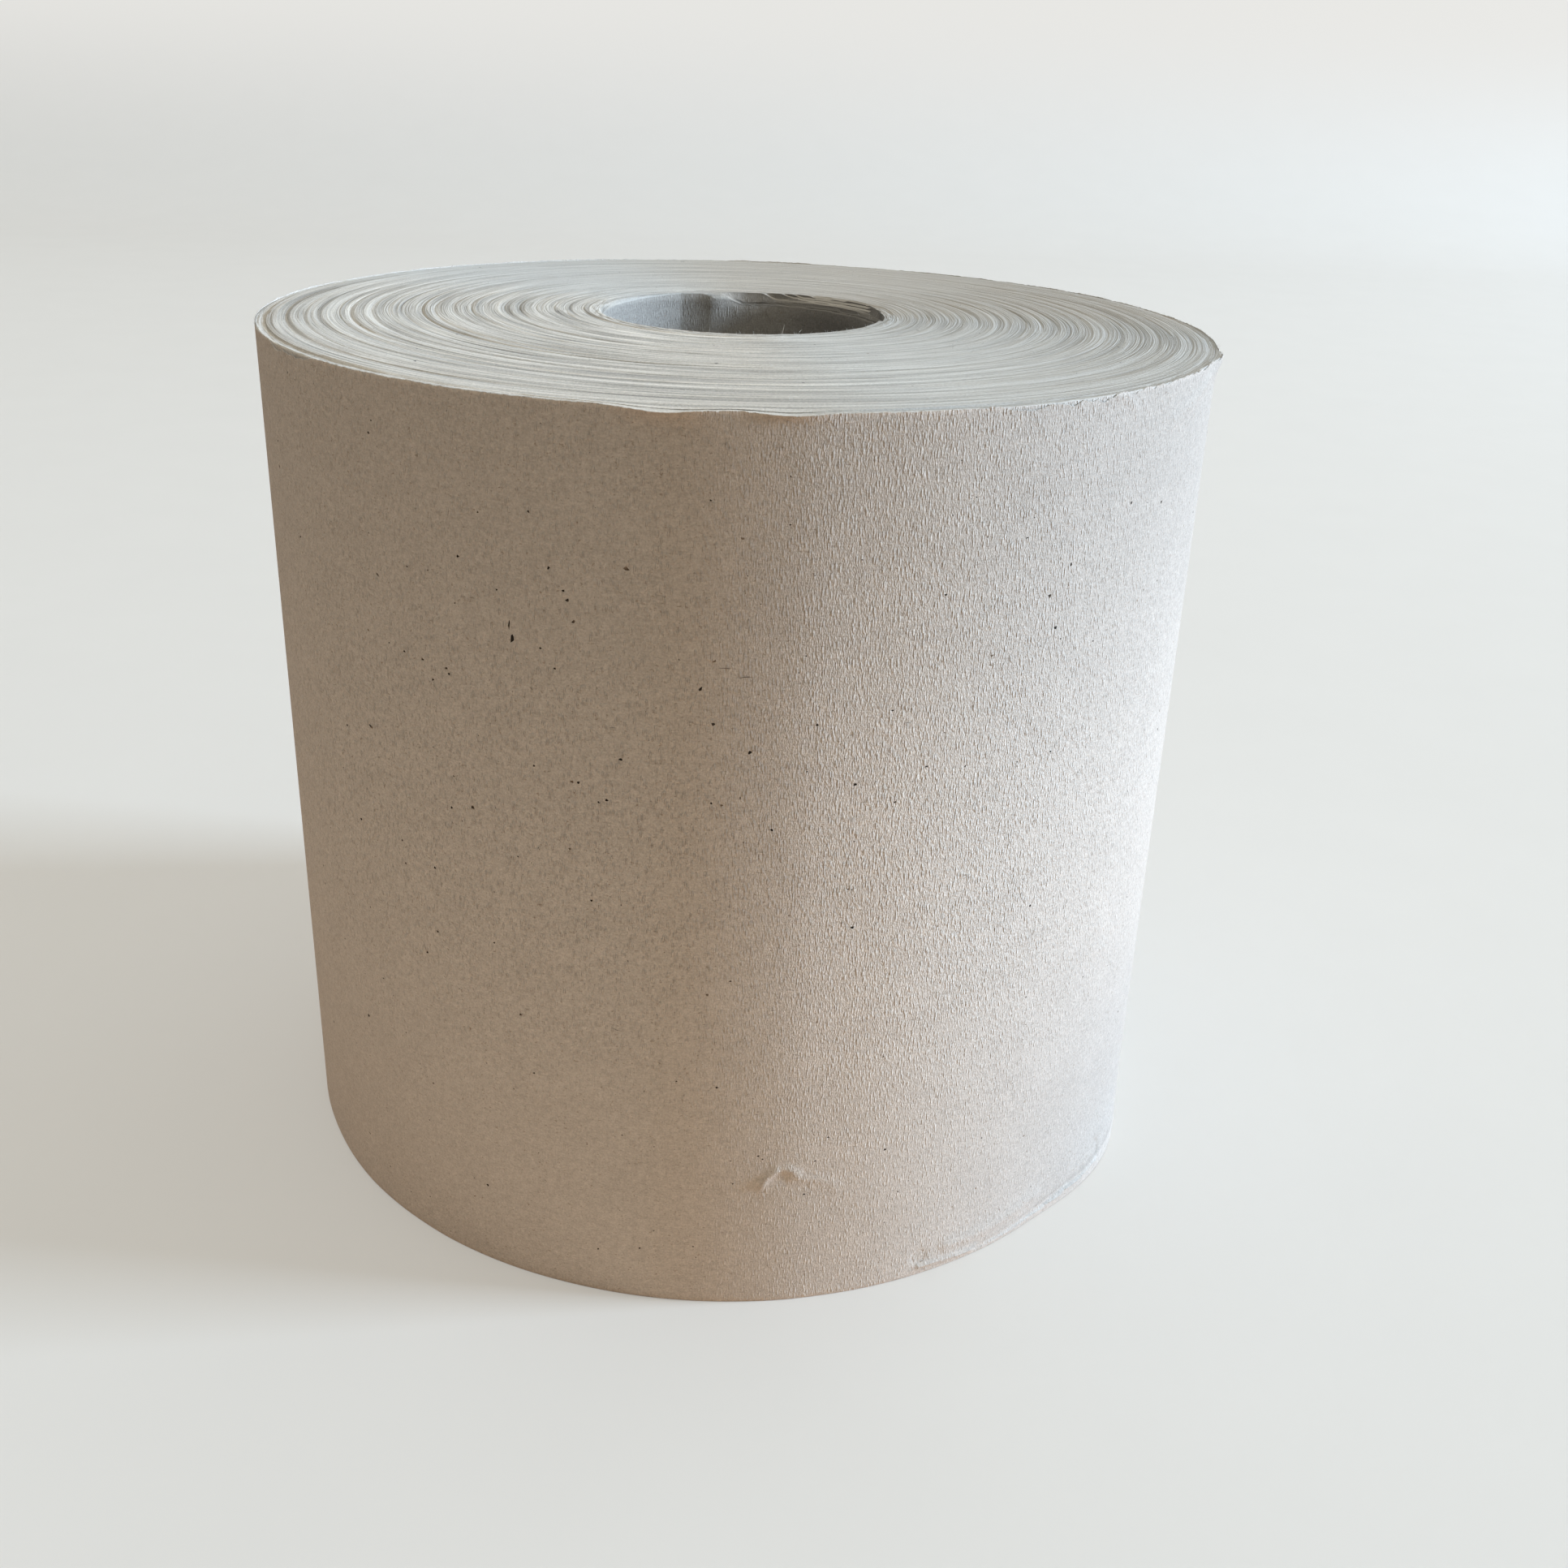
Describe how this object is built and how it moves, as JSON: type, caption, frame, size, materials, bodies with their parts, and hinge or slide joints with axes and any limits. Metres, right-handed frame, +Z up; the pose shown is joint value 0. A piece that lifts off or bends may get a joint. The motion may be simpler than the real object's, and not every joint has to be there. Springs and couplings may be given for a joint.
{
  "type": "toilet paper roll",
  "caption": "Coreless roll of creped single-ply recycled toilet tissue, standing on its end, with its turns showing as rings on both ends and an open bore.",
  "frame": {"origin": "centre of the foot, on the roll's axis, in the plane that it stands on", "axes": "+Z up along the roll's axis; -Y towards the front that the picture shows"},
  "size_m": [0.1249, 0.125, 0.114],
  "materials": {
    "creped_tissue": "matt, finely creped, with dark specks and short fibres of recycled pulp"
  },
  "bodies": {
    "root": {"paper_roll": "creped_tissue"}
  },
  "joints": []
}
